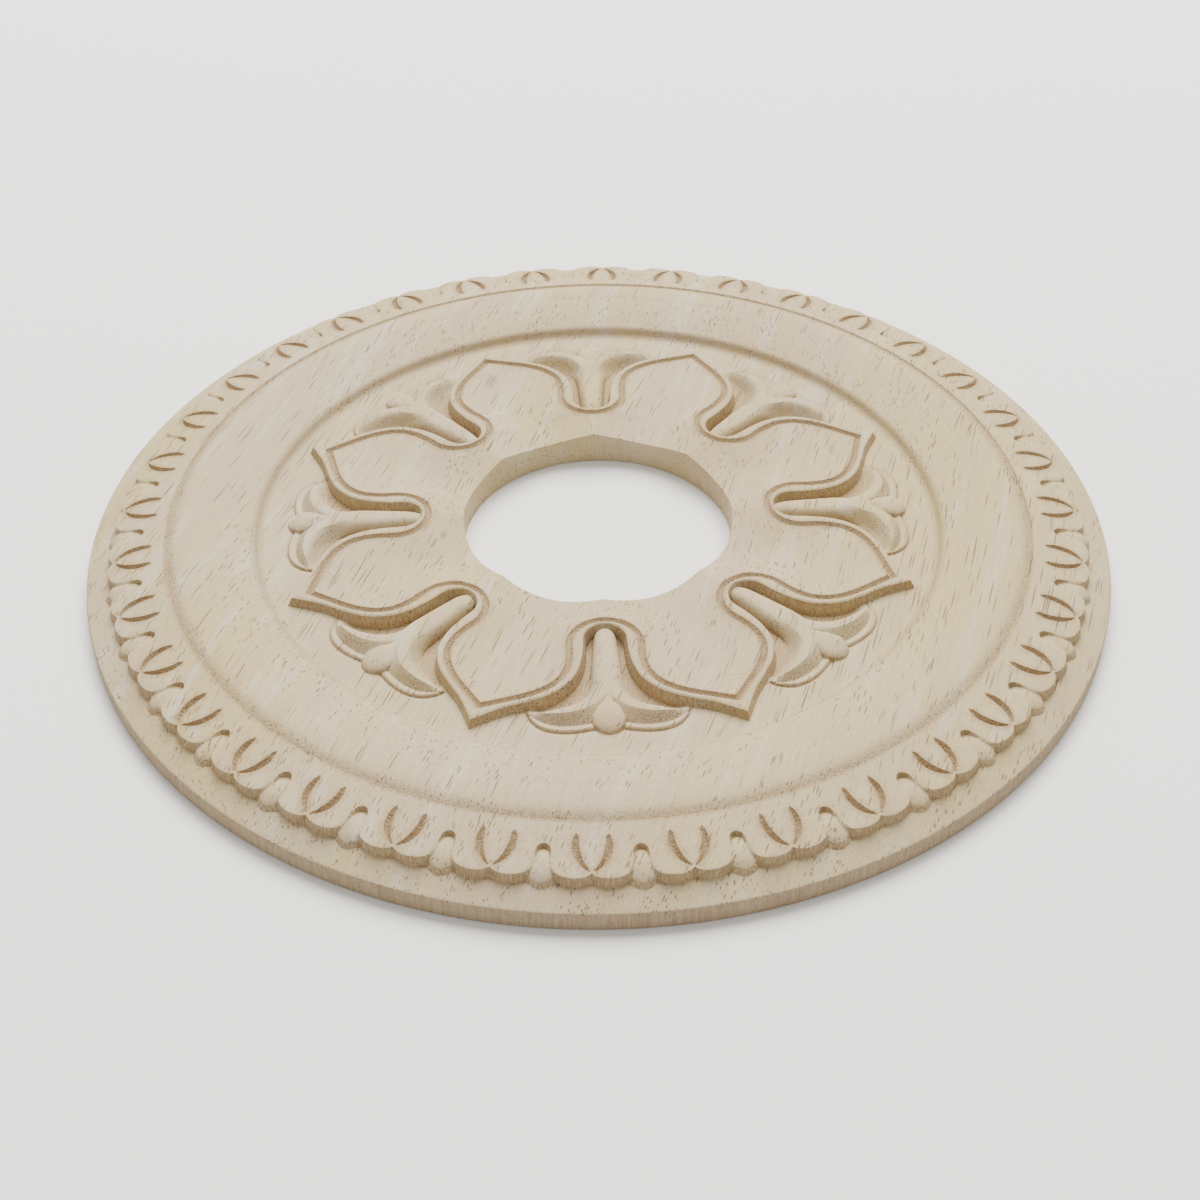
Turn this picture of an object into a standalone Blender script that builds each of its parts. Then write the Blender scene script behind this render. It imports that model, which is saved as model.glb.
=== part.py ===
"""Carved wooden ceiling medallion: one flat-backed disc, turned and carved from one blank.

The origin is at the centre of the flat back and +Z leaves the carved face. Plan sizes and heights
are millimetres until a point becomes a vertex, which is in metres. The carved face is drawn as
design lines seen from above, each point with its height over the back. Half a petal with half a
flower is one patch, mirrored and turned eight times. Half a border unit is another, mirrored and
turned thirty-six times. The plain turned surfaces are rings between the two.
"""

import math

import bmesh
import bpy
from mathutils import Matrix, Vector
from mathutils.geometry import delaunay_2d_cdt

MM = 0.001
WELD = 0.00001
SHARP_ANGLE = math.radians(28)

# The turned blank
OUTER_RADIUS = 150.0
OUTER_HEIGHT = 5.5
HOLE_RADIUS = 40.0
THICKNESS = 14.0

# Turned surfaces between the rosette and the border, as (radius, height)
FIELD_HEIGHT = 8.4
STEP_FOOT = (99.9, 8.75)
STEP_TOP = (101.1, 10.95)
ROLL_START = (115.5, 13.7)
ROLL_CREST = (120.0, THICKNESS)
CREASE = (126.7, 13.15)
FINE_SEGMENTS = 144
COARSE_SEGMENTS = 72

# Rosette: eight flowers with a hollowed petal between each two
FLOWERS = 8
HALF_FLOWER = math.pi / FLOWERS
PETAL_EDGE_AT_BEND = 11.9
PETAL_EDGE_AT_TIP = 11.1
PETAL_HOLLOW_AT_HOLE = 8.4
RIDGE_AT_HOLE = 10.4
HOLLOW_RISE_POWER = 0.8
HOLLOW_ROUNDNESS = 1.8
HOLLOW_STATIONS = (47.0, 56.0, 66.0, 75.0)
HOLLOW_TIP_STATION = 82.0
STATIONS_ACROSS = (0.0, 0.35, 0.7)

# Groove round a petal, as (across, out): a bend under the flower, then a flare to the petal's tip
BEND_STEPS = 4
GROOVE_BEND_CENTRE = 60.2
GROOVE_BEND_RADIUS = 10.1
GROOVE_FLARE = ((10.1, 65.2), (12.0, 71.9), (16.2, 76.3), (21.5, 78.9), (27.7, 80.6))
GROOVE_TIP_RADIUS = 89.0
GROOVE_HALF_WIDTH = 0.65
GROOVE_DEPTH = 0.75

# Outer edge of the raised band that follows the groove, and the foot of its wall
BAND_BEND_CENTRE = 58.2
BAND_BEND_RADIUS = 6.0
BAND_FLARE = ((6.35, 63.5), (7.5, 69.0), (10.1, 74.2), (15.0, 78.9), (21.5, 81.6), (28.6, 83.8))
BAND_TIP_RADIUS = 94.7
BAND_CROWN = 0.15
WALL_DRAFT = 0.7
CHANNEL_FLOOR = 7.3

# Lily flower in the band's bend, as (across, out, height): a stem that flares into two lips
STEM_NOSE_HEIGHT = 10.7
STEM_SHOULDER = ((1.8, 54.1, 10.3), (2.7, 57.0, 10.2), (3.1, 64.0, 10.3), (3.7, 71.5, 10.4))
STEM_CREST = ((57.0, 11.3), (65.0, 11.4), (73.0, 11.5))
LIP_UPPER_EDGE = ((5.0, 76.0, 10.5), (8.2, 80.2, 10.5), (12.2, 82.4, 10.4), (16.4, 83.3, 10.2))
LIP_TIP = (20.4, 83.0, 9.6)
LIP_MIDDLE = ((5.4, 80.6, 11.5), (11.6, 84.8, 11.3))
FORK = (0.0, 79.6, 11.3)
LIP_LOWER_EDGE = (
    (2.2, 81.9, 11.3),
    (4.6, 84.7, 11.2),
    (8.2, 86.5, 11.1),
    (12.4, 87.0, 11.0),
    (16.6, 86.2, 10.7),
)
LILY_DRAFT = 0.7
LIP_DRAFT = 0.8
RECESS_FLOOR = 8.7

# Points of the wall's foot, counted from the flower's axis, where the lily's foot leaves it and
# where the lip's tip comes back to it
NOSE_POINT = 2
LIP_TIP_POINT = BEND_STEPS + 5

# Thin rim that closes the hollow under the lips: arcs about one centre
RIM_CENTRE = (10.6, 80.0)
RIM_CREST_RADIUS = 10.1
RIM_FOOT_RADIUS = 11.2
RIM_START = math.radians(17)
RIM_END = math.radians(121)
RIM_STEPS = 6
RIM_HEIGHT = 9.3

# Bud under the fork
BUD_EDGE = ((3.2, 84.9, 10.3), (4.4, 87.4, 9.9), (3.9, 90.1, 9.6), (2.2, 91.9, 9.4), (0.0, 92.6, 9.3))
BUD_CREST = ((85.0, 11.4), (89.5, 10.9))
BUD_DRAFT = 0.35
CREVICE_HEIGHT = 9.4

# Border: leaf units, whose lobes are given as (run along the arc, radius)
UNITS = 36
HALF_UNIT = math.pi / UNITS
UNIT_TURN = math.radians(-2.5)
LEAF_FALL = 0.144
LOBE_EDGE = ((0.0, 141.6), (2.3, 142.7), (4.8, 143.0), (7.5, 142.4), (9.3, 141.0), (9.8, 138.2))
NOTCH_CENTRE_RADIUS = 135.3
NOTCH_RADIUS = 1.9
NOTCH_TURNS = (0.0, math.pi / 4)
LEAF_DRAFT = 0.3
LEDGE_INNER_HEIGHT = 7.8

# Curved slit beside a unit's axis, as (run along the arc, radius, half width)
SLIT = (
    (0.5, 141.0, 0.25),
    (2.3, 139.3, 0.75),
    (3.7, 136.5, 0.95),
    (4.15, 133.6, 0.85),
    (3.9, 131.1, 0.4),
)
SLIT_DEPTH = 1.0

# Dart between two units, as (radius, height) along its crest. Its side leaves the lobe's foot at
# the fifth point, counted from the unit's axis
DART_INNER = (135.1, 11.0)
DART_MIDDLE = (138.6, 11.0)
DART_OUTER = (142.0, 10.0)
DART_FOOT_RADIUS = 144.2
DART_SIDE_DROP = 0.5
DART_SIDE_POINT = 4

# Two points this close in plan are one, and a point this near a radial line lies on it
SAME_POINT = 0.0001
ON_LINE = 0.000001
# A path's own points stop this far before the radial line that it is drawn out to
CLEAR_OF_LINE = 0.4

WOOD_COLOUR = (0.62, 0.55, 0.45, 1.0)
WOOD_ROUGHNESS = 0.75


def on_ray(radius, angle):
    """Plan point at a radius, its angle measured from +Y towards +X."""
    return radius * math.sin(angle), radius * math.cos(angle)


def arc(centre, radius, start, end, steps):
    """Plan points on an arc, its angles measured from +X towards +Y."""
    angles = [start + (end - start) * i / steps for i in range(steps + 1)]
    return [(centre[0] + radius * math.cos(a), centre[1] + radius * math.sin(a)) for a in angles]


def side_of_ray(point, angle):
    """Distance of a plan point past the radial line at this angle."""
    return point[0] * math.cos(angle) - point[1] * math.sin(angle)


def offset(path, distance):
    """The path moved to its left, with its ends square to its first and last stretch."""
    moved = []
    for i, point in enumerate(path):
        before = Vector(path[max(i - 1, 0)][:2])
        after = Vector(path[min(i + 1, len(path) - 1)][:2])
        along = (after - before).normalized()
        moved.append((point[0] - along.y * distance, point[1] + along.x * distance))
    return moved


def ended_on_ray(path, angle):
    """The path cut or drawn out along its last stretch so that it ends on a radial line."""
    inside = [point for point in path[:-1] if side_of_ray(point, angle) < -CLEAR_OF_LINE]
    start, end = Vector(inside[-1]), Vector(path[len(inside)])
    along = end - start
    gained = side_of_ray(end, angle) - side_of_ray(start, angle)
    crossing = start - along * (side_of_ray(start, angle) / gained)
    return inside + [on_ray(crossing.length, angle)]


def started_on_axis(path):
    """The path with its first point moved onto the flower's axis."""
    return [(0.0, path[0][1])] + path[1:]


def at_heights(path, heights):
    return [(x, y, z) for (x, y), z in zip(path, heights)]


class Patch:
    """Part of the carved face between two radial lines, as design lines seen from above."""

    def __init__(self, width_angle):
        self.rays = (0.0, width_angle)
        self.points = []
        self.edges = []

    def add_line(self, points):
        first = len(self.points)
        self.points += points
        self.edges += [(i, i + 1) for i in range(first, len(self.points) - 1)]

    def add_points(self, points):
        self.points += points

    def close_sides(self):
        """Joins the points on each radial line, from the centre outwards."""
        for angle in self.rays:
            along = [i for i, p in enumerate(self.points) if abs(side_of_ray(p, angle)) < ON_LINE]
            along.sort(key=lambda i: math.hypot(*self.points[i][:2]))
            self.edges += list(zip(along, along[1:]))

    def fill(self, bm):
        """Fills the lines with triangles and sets them into the mesh."""
        self.close_sides()
        plan = [Vector(point[:2]) for point in self.points]
        found, _, triangles, sources, _, _ = delaunay_2d_cdt(plan, self.edges, [], 1, SAME_POINT)
        vertices = []
        for place, source in zip(found, sources):
            height = self.points[source[0]][2]
            vertices.append(bm.verts.new(Vector((place.x, place.y, height)) * MM))
        for triangle in triangles:
            bm.faces.new([vertices[i] for i in triangle])


def petal_path(bend_centre, bend_radius, flare, tip_radius):
    """A line from the flower's axis round the bend and out to the petal's tip."""
    bend = arc((0.0, bend_centre), bend_radius, -math.pi / 2, 0.0, BEND_STEPS)
    return started_on_axis(bend) + list(flare) + [on_ray(tip_radius, HALF_FLOWER)]


def petal_edge_height(radius, bend_radius):
    """Height of the petal's edge, falling from the bend to the tip."""
    reach = (radius - bend_radius) / (GROOVE_TIP_RADIUS - bend_radius)
    return PETAL_EDGE_AT_BEND + (PETAL_EDGE_AT_TIP - PETAL_EDGE_AT_BEND) * reach


def hollow_height(radius, across):
    """Height of the hollowed petal: across is 0 on its axis and 1 at its edge."""
    bend = GROOVE_BEND_CENTRE - GROOVE_BEND_RADIUS
    reach = (radius - HOLE_RADIUS) / (GROOVE_TIP_RADIUS - HOLE_RADIUS)
    middle = PETAL_HOLLOW_AT_HOLE
    middle += (PETAL_EDGE_AT_TIP - PETAL_HOLLOW_AT_HOLE) * reach**HOLLOW_RISE_POWER
    if radius < bend:
        edge = RIDGE_AT_HOLE
        edge += (PETAL_EDGE_AT_BEND - RIDGE_AT_HOLE) * (radius - HOLE_RADIUS) / (bend - HOLE_RADIUS)
    else:
        edge = petal_edge_height(radius, bend)
    return middle + (edge - middle) * across**HOLLOW_ROUNDNESS


def groove_angle(groove, radius):
    """Angle from the flower's axis at which the groove crosses this radius."""
    if radius <= groove[0][1]:
        return 0.0
    for near, far in zip(groove, groove[1:]):
        low, high = math.hypot(*near), math.hypot(*far)
        if low <= radius <= high:
            share = (radius - low) / (high - low)
            return math.atan2(near[0] + (far[0] - near[0]) * share, near[1] + (far[1] - near[1]) * share)
    return HALF_FLOWER


def petal_surface(patch, groove):
    """Edge of the hole and the hollowed face of the petal."""
    steps = FINE_SEGMENTS // FLOWERS // 2
    edge = []
    for i in range(steps + 1):
        angle = HALF_FLOWER * i / steps
        edge.append((*on_ray(HOLE_RADIUS, angle), hollow_height(HOLE_RADIUS, 1 - i / steps)))
    patch.add_line(edge)
    for radius in HOLLOW_STATIONS:
        half_width = HALF_FLOWER - groove_angle(groove, radius)
        for across in STATIONS_ACROSS:
            angle = HALF_FLOWER - half_width * across
            patch.add_points([(*on_ray(radius, angle), hollow_height(radius, across))])
    tip = on_ray(HOLLOW_TIP_STATION, HALF_FLOWER)
    patch.add_points([(*tip, hollow_height(HOLLOW_TIP_STATION, 0.0))])


def groove_and_band(patch, groove, band):
    """The cut line round the petal and the raised band outside it."""
    bend = groove[0][1]
    inner = ended_on_ray(started_on_axis(offset(groove, -GROOVE_HALF_WIDTH)), HALF_FLOWER)
    outer = ended_on_ray(started_on_axis(offset(groove, GROOVE_HALF_WIDTH)), HALF_FLOWER)
    for path, rise in ((inner, 0.0), (groove, -GROOVE_DEPTH), (outer, 0.0), (band, BAND_CROWN)):
        heights = [petal_edge_height(math.hypot(*point), bend) + rise for point in path]
        patch.add_line(at_heights(path, heights))


def wall_foot(band):
    """Foot of the band's wall: at the stem's nose, along the channel, then on the field."""
    foot = ended_on_ray(started_on_axis(offset(band, WALL_DRAFT)), HALF_FLOWER)
    heights = [STEM_NOSE_HEIGHT] + [CHANNEL_FLOOR] * (LIP_TIP_POINT - 1) + [RECESS_FLOOR]
    heights += [FIELD_HEIGHT] * (len(foot) - len(heights))
    return at_heights(foot, heights)


def lily(patch, foot):
    """Stem and lips, with the recess under them, its rim and the bud."""
    shoulder = [foot[0], *STEM_SHOULDER, *LIP_UPPER_EDGE, LIP_TIP]
    patch.add_line(shoulder)
    flank = offset(shoulder, -LILY_DRAFT)[2:-1]
    channel_side = [(x, y, CHANNEL_FLOOR) for x, y in flank]
    patch.add_line([foot[NOSE_POINT], *channel_side, foot[LIP_TIP_POINT]])
    patch.add_points([(0.0, y, z) for y, z in STEM_CREST])
    patch.add_points(list(LIP_MIDDLE))
    lower = [FORK, *LIP_LOWER_EDGE, LIP_TIP]
    patch.add_line(lower)
    patch.add_points([(x, y, RECESS_FLOOR) for x, y in offset(lower, LIP_DRAFT)[2:-1]])

    crest = arc(RIM_CENTRE, RIM_CREST_RADIUS, RIM_START, RIM_END, RIM_STEPS)
    patch.add_line([LIP_TIP] + [(x, y, RIM_HEIGHT) for x, y in crest[1:]])
    rim_foot = arc(RIM_CENTRE, RIM_FOOT_RADIUS, RIM_START, RIM_END, RIM_STEPS)
    patch.add_line([(x, y, FIELD_HEIGHT) for x, y in rim_foot])

    bud = [FORK, *BUD_EDGE]
    patch.add_line(bud)
    bud_foot = offset(bud, -BUD_DRAFT)[1:]
    bud_foot[-1] = (0.0, bud_foot[-1][1] + BUD_DRAFT)
    heights = [CREVICE_HEIGHT] + [RECESS_FLOOR] * (len(BUD_EDGE) - 2) + [FIELD_HEIGHT]
    patch.add_line(at_heights(bud_foot, heights))
    patch.add_points([(0.0, y, z) for y, z in BUD_CREST])


def rosette_patch():
    """Half a flower with half a petal, from the hole to the foot of the step."""
    patch = Patch(HALF_FLOWER)
    groove = petal_path(GROOVE_BEND_CENTRE, GROOVE_BEND_RADIUS, GROOVE_FLARE, GROOVE_TIP_RADIUS)
    band = petal_path(BAND_BEND_CENTRE, BAND_BEND_RADIUS, BAND_FLARE, BAND_TIP_RADIUS)
    petal_surface(patch, groove)
    groove_and_band(patch, groove, band)
    foot = wall_foot(band)
    patch.add_line(foot)
    lily(patch, foot)
    steps = FINE_SEGMENTS // FLOWERS // 2
    outer = [on_ray(STEP_FOOT[0], HALF_FLOWER * i / steps) for i in range(steps + 1)]
    patch.add_line([(x, y, STEP_FOOT[1]) for x, y in outer])
    return patch


def leaf_height(radius):
    """Height of the leaf face, which falls evenly from the crease to the lobes."""
    return CREASE[1] - LEAF_FALL * (radius - CREASE[0])


def on_unit(lateral, radius):
    """Plan point of the border, placed by its run along the arc from the unit's axis."""
    return on_ray(radius, lateral / radius)


def lobe_and_notch():
    """Outline of one lobe from the unit's axis into the round end of the notch."""
    middle = NOTCH_CENTRE_RADIUS * HALF_UNIT
    path = [on_unit(*point) for point in LOBE_EDGE]
    for turn in NOTCH_TURNS:
        lateral = middle - NOTCH_RADIUS * math.cos(turn)
        path.append(on_unit(lateral, NOTCH_CENTRE_RADIUS - NOTCH_RADIUS * math.sin(turn)))
    return path + [on_ray(NOTCH_CENTRE_RADIUS - NOTCH_RADIUS, HALF_UNIT)]


def slit(patch):
    """Curved V cut beside the unit's axis, pointed at both ends."""
    centre = [on_unit(lateral, radius) for lateral, radius, _ in SLIT]
    widths = [half_width for _, _, half_width in SLIT]
    for side in (-1, 0, 1):
        line = []
        for i in range(1, len(centre) - 1):
            x, y = offset(centre, side * widths[i])[i]
            depth = 0.0 if side else SLIT_DEPTH
            line.append((x, y, leaf_height(math.hypot(x, y)) - depth))
        ends = [(*centre[i], leaf_height(math.hypot(*centre[i]))) for i in (0, -1)]
        patch.add_line([ends[0], *line, ends[1]])


def border_patch():
    """Half a border unit: a lobe with its slit and half the dart beside it, out to the rim."""
    patch = Patch(HALF_UNIT)
    edge = lobe_and_notch()
    patch.add_line([(x, y, leaf_height(math.hypot(x, y))) for x, y in edge])
    foot = started_on_axis(offset(edge, LEAF_DRAFT))
    foot[-1] = on_ray(NOTCH_CENTRE_RADIUS - NOTCH_RADIUS + LEAF_DRAFT, HALF_UNIT)
    heights = [LEDGE_INNER_HEIGHT] * (DART_SIDE_POINT + 1) + [DART_MIDDLE[1] - DART_SIDE_DROP]
    heights += [DART_INNER[1] - DART_SIDE_DROP] * (len(foot) - len(heights))
    patch.add_line(at_heights(foot, heights))
    dart_tip = (*on_ray(DART_FOOT_RADIUS, HALF_UNIT), LEDGE_INNER_HEIGHT)
    patch.add_line([(*foot[DART_SIDE_POINT], LEDGE_INNER_HEIGHT), dart_tip])
    shoulder_radius = (DART_MIDDLE[0] + DART_FOOT_RADIUS) / 2
    shoulder = on_ray(shoulder_radius, HALF_UNIT - NOTCH_RADIUS / shoulder_radius)
    patch.add_points([(*shoulder, DART_OUTER[1] - DART_SIDE_DROP / 2)])
    patch.add_points([(*on_ray(r, HALF_UNIT), z) for r, z in (DART_INNER, DART_MIDDLE, DART_OUTER)])
    slit(patch)
    for radius, height in (CREASE, (OUTER_RADIUS, OUTER_HEIGHT)):
        patch.add_line([(*on_ray(radius, angle), height) for angle in patch.rays])
    return patch


def added_since(bm, before):
    """Vertices, edges and faces of all that was added since the faces in before."""
    faces = [face for face in bm.faces if face not in before]
    edges = {edge for face in faces for edge in face.edges}
    vertices = {vertex for face in faces for vertex in face.verts}
    return list(vertices), list(edges), faces


def add_mirrored_turns(bm, patch, copies, turn):
    """Sets a patch and its mirror image into the mesh, then turns copies of both about Z."""
    before = set(bm.faces)
    patch.fill(bm)
    vertices, edges, faces = added_since(bm, before)
    bmesh.ops.mirror(bm, geom=vertices + edges + faces, axis="X", merge_dist=WELD)
    vertices, edges, faces = added_since(bm, before)
    bmesh.ops.rotate(bm, verts=vertices, cent=(0, 0, 0), matrix=Matrix.Rotation(turn, 3, "Z"))
    bmesh.ops.spin(
        bm,
        geom=vertices + edges + faces,
        cent=(0, 0, 0),
        axis=(0, 0, 1),
        angle=2 * math.pi * (copies - 1) / copies,
        steps=copies - 1,
        use_duplicate=True,
    )


def circle(bm, segments, radius, heights):
    """Vertices on a circle. A coarse circle starts half a step on, where two border units meet."""
    start = 0.0 if segments == FINE_SEGMENTS else -UNIT_TURN
    made = []
    for i in range(segments):
        x, y = on_ray(radius, start + 2 * math.pi * i / segments)
        made.append(bm.verts.new(Vector((x, y, heights[i % len(heights)])) * MM))
    return made


def join_circles(bm, first, second):
    """Faces between two circles with the same number of vertices, or a fine and a coarse one."""
    fine, coarse = (first, second) if len(first) >= len(second) else (second, first)
    count = len(coarse)
    for i in range(count):
        following = (i + 1) % count
        if len(fine) == count:
            bm.faces.new((coarse[i], fine[i], fine[following], coarse[following]))
            continue
        a, b, c = (fine[(2 * i + k) % len(fine)] for k in (1, 2, 3))
        bm.faces.new((coarse[i], a, b))
        bm.faces.new((coarse[i], b, coarse[following]))
        bm.faces.new((coarse[following], b, c))


def add_turned_surfaces(bm):
    """The step and roll between the patches, then the side, the back and the wall of the hole."""
    face = [
        circle(bm, segments, radius, [height])
        for segments, (radius, height) in (
            (FINE_SEGMENTS, STEP_FOOT),
            (FINE_SEGMENTS, STEP_TOP),
            (COARSE_SEGMENTS, ROLL_START),
            (COARSE_SEGMENTS, ROLL_CREST),
            (COARSE_SEGMENTS, CREASE),
        )
    ]
    steps = FINE_SEGMENTS // FLOWERS // 2
    falling = [hollow_height(HOLE_RADIUS, 1 - i / steps) for i in range(steps + 1)]
    back = [
        circle(bm, COARSE_SEGMENTS, OUTER_RADIUS, [OUTER_HEIGHT]),
        circle(bm, COARSE_SEGMENTS, OUTER_RADIUS, [0.0]),
        circle(bm, FINE_SEGMENTS, HOLE_RADIUS, [0.0]),
        circle(bm, FINE_SEGMENTS, HOLE_RADIUS, falling + falling[-2:0:-1]),
    ]
    for run in (face, back):
        for first, second in zip(run, run[1:]):
            join_circles(bm, first, second)


def wood():
    """Bare, pale, matt wood."""
    material = bpy.data.materials.new("pale_wood")
    material.use_nodes = True
    shader = material.node_tree.nodes["Principled BSDF"]
    shader.inputs["Base Color"].default_value = WOOD_COLOUR
    shader.inputs["Roughness"].default_value = WOOD_ROUGHNESS
    shader.inputs["Metallic"].default_value = 0.0
    return material


def medallion():
    """The whole disc as one closed mesh."""
    bm = bmesh.new()
    add_mirrored_turns(bm, rosette_patch(), FLOWERS, 0.0)
    add_mirrored_turns(bm, border_patch(), UNITS, UNIT_TURN)
    add_turned_surfaces(bm)
    bmesh.ops.remove_doubles(bm, verts=bm.verts, dist=WELD)
    bmesh.ops.recalc_face_normals(bm, faces=bm.faces)
    mesh = bpy.data.meshes.new("medallion")
    bm.to_mesh(mesh)
    bm.free()
    mesh.materials.append(wood())
    mesh.shade_smooth()
    mesh.set_sharp_from_angle(angle=SHARP_ANGLE)
    disc = bpy.data.objects.new("medallion", mesh)
    bpy.context.scene.collection.objects.link(disc)


for old in list(bpy.data.objects):
    bpy.data.objects.remove(old, do_unlink=True)
medallion()
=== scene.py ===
import math

import bpy
import numpy as np
from mathutils import Matrix, Vector
from mathutils.geometry import delaunay_2d_cdt, interpolate_bezier


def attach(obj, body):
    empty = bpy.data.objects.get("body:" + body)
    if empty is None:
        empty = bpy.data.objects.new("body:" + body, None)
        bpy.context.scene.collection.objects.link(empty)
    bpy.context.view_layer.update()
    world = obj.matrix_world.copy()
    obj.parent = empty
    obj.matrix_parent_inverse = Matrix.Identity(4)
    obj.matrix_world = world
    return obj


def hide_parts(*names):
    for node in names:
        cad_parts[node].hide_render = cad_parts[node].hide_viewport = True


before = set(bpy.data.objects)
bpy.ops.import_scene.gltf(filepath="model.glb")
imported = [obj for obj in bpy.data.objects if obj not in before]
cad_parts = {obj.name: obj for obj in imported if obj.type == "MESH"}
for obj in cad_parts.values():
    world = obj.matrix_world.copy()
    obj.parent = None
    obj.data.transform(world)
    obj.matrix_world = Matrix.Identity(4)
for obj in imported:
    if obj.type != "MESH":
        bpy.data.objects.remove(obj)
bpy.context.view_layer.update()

# Camera
# It stands in front of the medallion and looks down on it, as the photo's camera did. The carved
# pattern is turned a little about its own axis, so the camera goes round by the same angle.
LENS = 54.86
SENSOR_WIDTH = 36.0
PATTERN_TURN = -0.02674
EYE = Vector((0.0, -0.431447, 0.343078))
PITCH = 0.704987
YAW = 0.000765
ROLL = -0.010864

forward = Vector((math.sin(YAW) * math.cos(PITCH), math.cos(YAW) * math.cos(PITCH), -math.sin(PITCH)))
level = Vector((math.cos(YAW), -math.sin(YAW), 0.0))
upright = level.cross(forward)
right = level * math.cos(ROLL) + upright * math.sin(ROLL)
up = upright * math.cos(ROLL) - level * math.sin(ROLL)
aim = Matrix((right, up, -forward)).transposed().to_4x4()

camera_data = bpy.data.cameras.new("camera")
camera_data.lens = LENS
camera_data.sensor_width = SENSOR_WIDTH
camera = bpy.data.objects.new("camera", camera_data)
camera.matrix_world = Matrix.Rotation(PATTERN_TURN, 4, "Z") @ Matrix.Translation(EYE) @ aim
bpy.context.scene.collection.objects.link(camera)
bpy.context.scene.camera = camera

# Turned blank
# The medallion starts as a round panel of edge-glued pale wood, turned to its side, back, step and
# broad roll. Sizes from here on are millimetres, and become metres as they enter a mesh.
MM = 0.001
WELD = 0.00002
TURNING_STEPS = 432
OUTER_RADIUS = 150.0
HOLE_RADIUS = 40.0
HOLE_FOOT = 0.3
ROSETTE_RIM = (99.9, 8.75)
BORDER_INNER_RIM = (126.4, 12.6)
BORDER_OUTER_RIM = (149.45, 5.75)
ROLL_PROFILE = (
    ROSETTE_RIM,
    (100.3, 9.0),
    (100.7, 9.55),
    (101.05, 10.2),
    (101.4, 10.7),
    (101.9, 11.05),
    (102.8, 11.35),
    (104.6, 11.85),
    (107.5, 12.5),
    (110.5, 13.05),
    (113.2, 13.45),
    (115.4, 13.72),
    (115.75, 13.7),
    (116.1, 13.8),
    (118.0, 13.95),
    (120.0, 14.0),
    (121.8, 13.96),
    (123.2, 13.8),
    (124.3, 13.5),
    (125.2, 13.1),
    (125.9, 12.77),
    BORDER_INNER_RIM,
)
SIDE_AND_BACK_PROFILE = (
    BORDER_OUTER_RIM,
    (149.75, 5.6),
    (149.94, 5.38),
    (OUTER_RADIUS, 5.12),
    (OUTER_RADIUS, 2.8),
    (OUTER_RADIUS, 0.45),
    (149.85, 0.15),
    (149.5, 0.0),
    (112.0, 0.0),
    (76.0, 0.0),
    (40.35, 0.0),
    (HOLE_RADIUS, HOLE_FOOT),
)


def spun(name, profile):
    """A profile of (radius, height) points, turned about Z."""
    mesh = bpy.data.meshes.new(name)
    edges = [(i, i + 1) for i in range(len(profile) - 1)]
    mesh.from_pydata([Vector((0.0, radius, height)) * MM for radius, height in profile], edges, [])
    turned = bpy.data.objects.new(name, mesh)
    bpy.context.scene.collection.objects.link(turned)
    bpy.ops.object.select_all(action="DESELECT")
    bpy.context.view_layer.objects.active = turned
    turned.select_set(True)
    bpy.ops.object.mode_set(mode="EDIT")
    bpy.ops.mesh.select_all(action="SELECT")
    bpy.ops.mesh.spin(steps=TURNING_STEPS, angle=2 * math.pi, center=(0, 0, 0), axis=(0, 0, 1))
    bpy.ops.mesh.select_all(action="SELECT")
    bpy.ops.mesh.remove_doubles(threshold=WELD)
    bpy.ops.object.mode_set(mode="OBJECT")
    return turned


roll = spun("roll", ROLL_PROFILE)
side_and_back = spun("side_and_back", SIDE_AND_BACK_PROFILE)

# Rosette of petals
# Eight hollowed petals stand round the hole. A round-bottomed groove and a raised band run along
# the edge of each. Half a petal with half a flower is carved, then mirrored and turned.
FLOWERS = 8
HALF_FLOWER = math.pi / FLOWERS
PETAL_EDGE_AT_BEND = 11.9
PETAL_EDGE_AT_TIP = 11.1
PETAL_HOLLOW_AT_HOLE = 8.4
RIDGE_AT_HOLE = 10.4
HOLLOW_RISE_POWER = 0.8
HOLLOW_ROUNDNESS = 1.8
HOLLOW_SETTLE_RUN = 6.0
GROOVE_BEND_CENTRE = 60.2
GROOVE_BEND_RADIUS = 9.9
GROOVE_FLARE = ((9.9, 65.2), (11.17, 70.87), (13.97, 74.84), (17.8, 77.52), (22.33, 79.38), (27.66, 80.79))
GROOVE_TIP_RADIUS = 89.24
GROOVE_HALF_WIDTH = 1.02
GROOVE_DEPTH = 1.15
GROOVE_SQUARENESS = 1.5
BAND_BEND_CENTRE = 58.2
BAND_BEND_RADIUS = 6.0
BAND_FLARE = ((6.35, 63.5), (7.4, 69.0), (9.9, 74.2), (15.0, 78.9), (21.5, 81.6), (28.6, 83.8))
BAND_TIP_RADIUS = 94.7
BAND_CROWN = 0.15
BAND_SHOULDER = 0.45
BAND_SHOULDER_DROP = 0.18
BAND_WALL_RUN = 0.9
CHANNEL_FLOOR = 7.3
CHANNEL_END_RISE = 1.2
CHANNEL_END = (52.0, 58.0)
CHANNEL_MOUTH = (17.0, 21.5)
FIELD_HEIGHT = 8.4
FIELD_FILLET = 1.9
POINT_SPACING = 0.8
BEND_POINTS = 9
OVERRUN = 12.0
TINY = 1e-9


def on_ray(radius, angle):
    """Plan points at a radius, their angle measured from +Y towards +X."""
    return np.stack((radius * np.sin(angle), radius * np.cos(angle)), axis=-1)


def arc(centre, radius, start, end, steps):
    """Plan points on an arc, its angles measured from +X towards +Y."""
    angles = np.linspace(start, end, steps)
    return np.stack((centre[0] + radius * np.cos(angles), centre[1] + radius * np.sin(angles)), axis=-1)


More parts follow.
